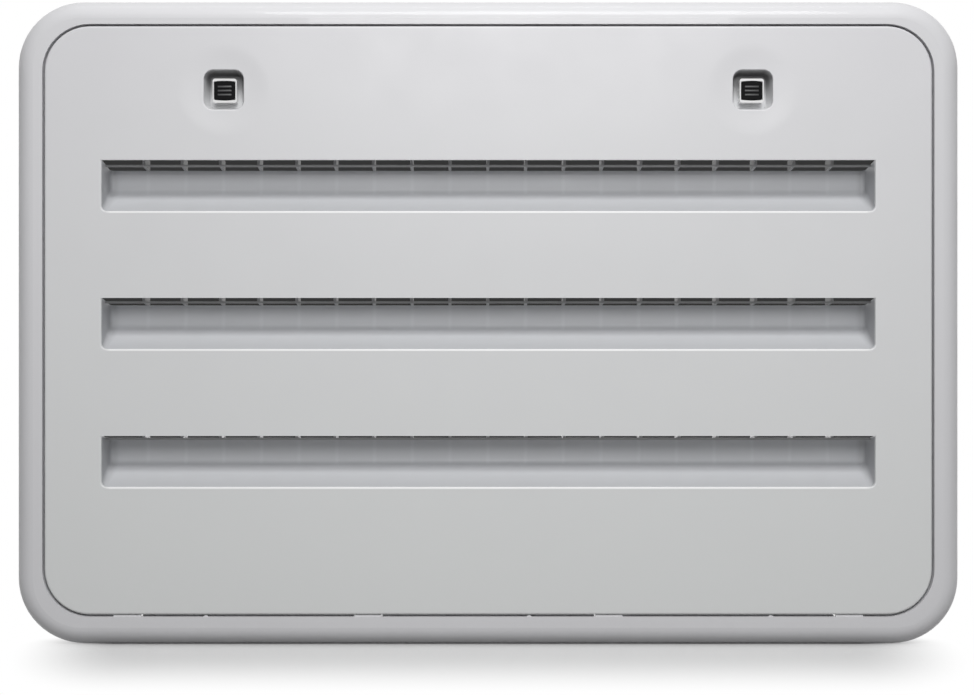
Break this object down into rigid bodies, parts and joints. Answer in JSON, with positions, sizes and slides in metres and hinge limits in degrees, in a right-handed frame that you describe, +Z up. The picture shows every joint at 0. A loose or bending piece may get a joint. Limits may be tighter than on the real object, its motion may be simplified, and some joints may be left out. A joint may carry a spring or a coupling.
{
  "type": "refrigerator vent door",
  "caption": "Flat louvred service door in a rounded moulded surround for a caravan wall, tilting out at the top on sill hooks and held shut by pull-out latches.",
  "frame": {"origin": "middle of the surround on the plane of its back, where it lies on the wall", "axes": "+X to the right and +Z up as seen from outside the vehicle, +Y into the wall, so the louvres face -Y"},
  "size_m": [0.603, 0.033, 0.4116],
  "materials": {
    "surround_plastic": "moulded, satin white",
    "door_plastic": "moulded, satin white",
    "bezel_plastic": "moulded, glossy pale grey",
    "latch_plastic": "moulded, matt black"
  },
  "bodies": {
    "frame": {"frame_surround": "surround_plastic", "wall_sleeve": "surround_plastic", "left_keeper_lug": "surround_plastic", "right_keeper_lug": "surround_plastic"},
    "door": {"door_panel": "door_plastic", "hinge_hooks": "door_plastic", "upper_louvre_trough": "door_plastic", "middle_louvre_trough": "door_plastic", "lower_louvre_trough": "door_plastic", "upper_vent_grille": "door_plastic", "middle_vent_grille": "door_plastic", "lower_vent_grille": "door_plastic", "left_latch_well": "door_plastic", "right_latch_well": "door_plastic", "left_latch_grommet": "bezel_plastic", "right_latch_grommet": "bezel_plastic"},
    "left_plunger": {"left_latch_plunger": "latch_plastic"},
    "right_plunger": {"right_latch_plunger": "latch_plastic"}
  },
  "joints": [
    {"name": "door_hinge", "type": "hinge", "parent": "frame", "child": "door", "pos_m": [0, -0.0075, -0.18445], "axis": [1, 0, 0], "range_deg": [0, 45]},
    {"name": "left_latch_slide", "type": "slide", "parent": "door", "child": "left_plunger", "axis": [0, -1, 0], "range_m": [0, 0.005]},
    {"name": "right_latch_slide", "type": "slide", "parent": "door", "child": "right_plunger", "axis": [0, -1, 0], "range_m": [0, 0.005]}
  ]
}
